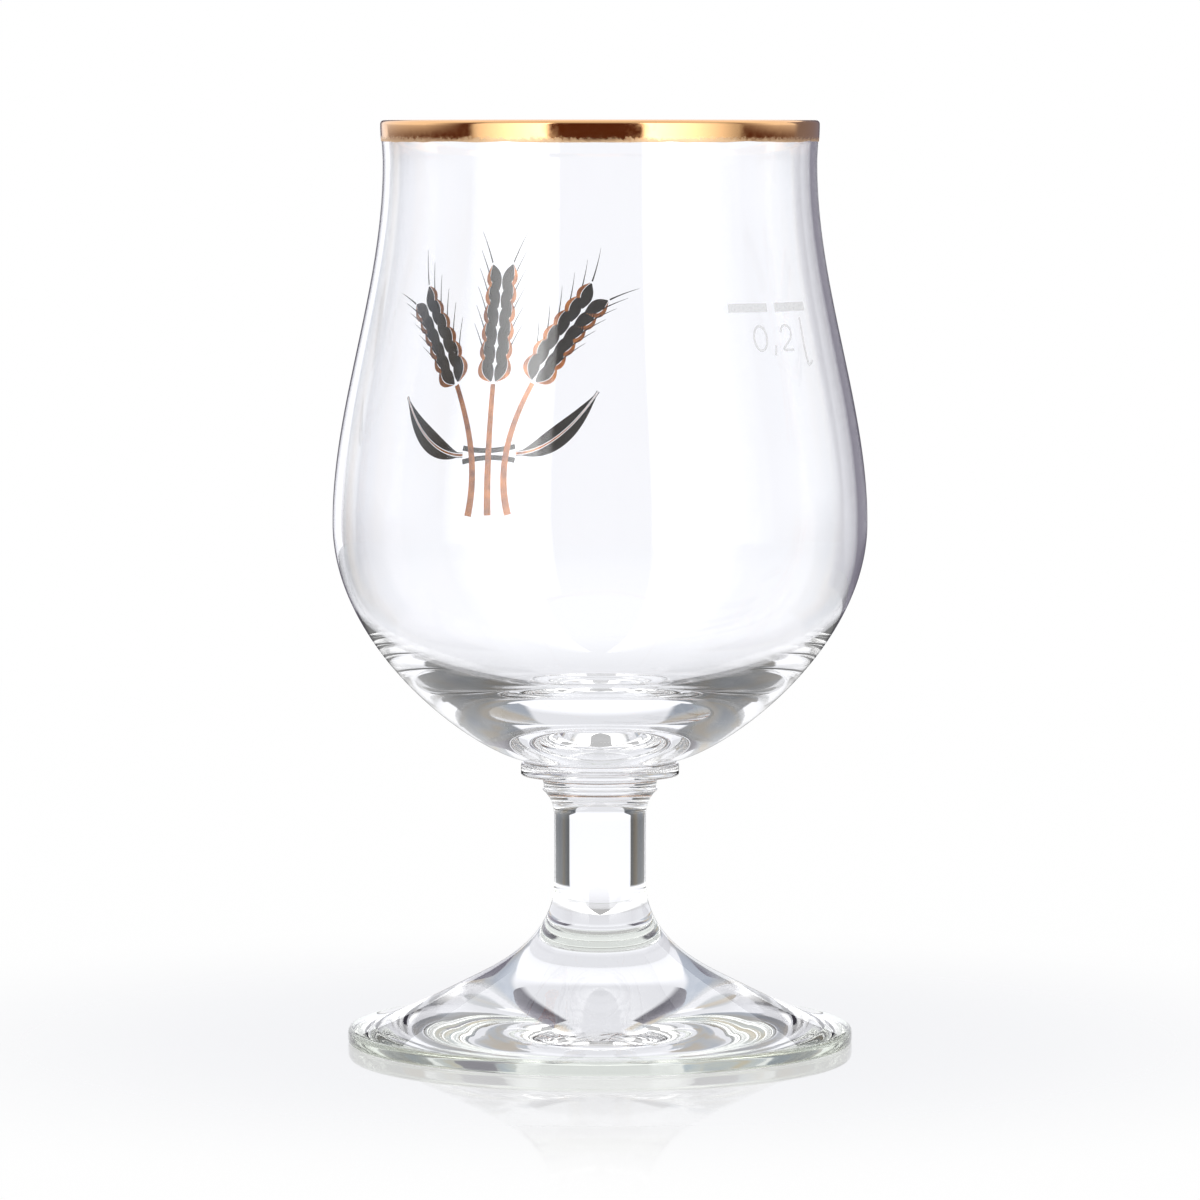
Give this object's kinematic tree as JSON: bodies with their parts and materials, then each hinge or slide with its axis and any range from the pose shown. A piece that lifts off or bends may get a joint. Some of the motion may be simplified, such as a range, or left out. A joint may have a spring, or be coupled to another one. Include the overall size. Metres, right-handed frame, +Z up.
{
  "type": "tulip beer glass",
  "caption": "Stemmed tulip beer glass with a round bowl, waisted lip with a gilt rim, collar, short stem and wide trumpet foot, for drinking beer from.",
  "frame": {"origin": "on the glass's axis, in the plane of the ring that the foot stands on", "axes": "+Z up along the axis from the foot to the rim; -Y towards the side where the measure mark is to the right; +X to that viewer's right"},
  "size_m": [0.0756, 0.0756, 0.1307],
  "materials": {
    "clear_glass": "clear soda-lime glass, fire polished",
    "gilt": "burnished bright gold, fired on",
    "frosted_enamel": "fired white-grey matt enamel",
    "black_enamel": "fired black enamel, satin",
    "copper_lustre": "fired copper-gold lustre"
  },
  "bodies": {
    "root": {"foot": "clear_glass", "stem": "clear_glass", "collar": "clear_glass", "bowl": "clear_glass", "gilt_rim": "gilt", "measure_bar_left": "frosted_enamel", "measure_bar_right": "frosted_enamel", "figure_zero": "frosted_enamel", "decimal_comma": "frosted_enamel", "figure_two": "frosted_enamel", "litre_letter": "frosted_enamel", "barley_stalk_left": "copper_lustre", "barley_stalk_centre": "copper_lustre", "barley_stalk_right": "copper_lustre", "barley_ear_left": "black_enamel", "barley_ear_centre": "black_enamel", "barley_ear_right": "black_enamel", "barley_leaf_left": "black_enamel", "barley_leaf_right": "black_enamel", "barley_tie": "black_enamel"}
  },
  "joints": []
}
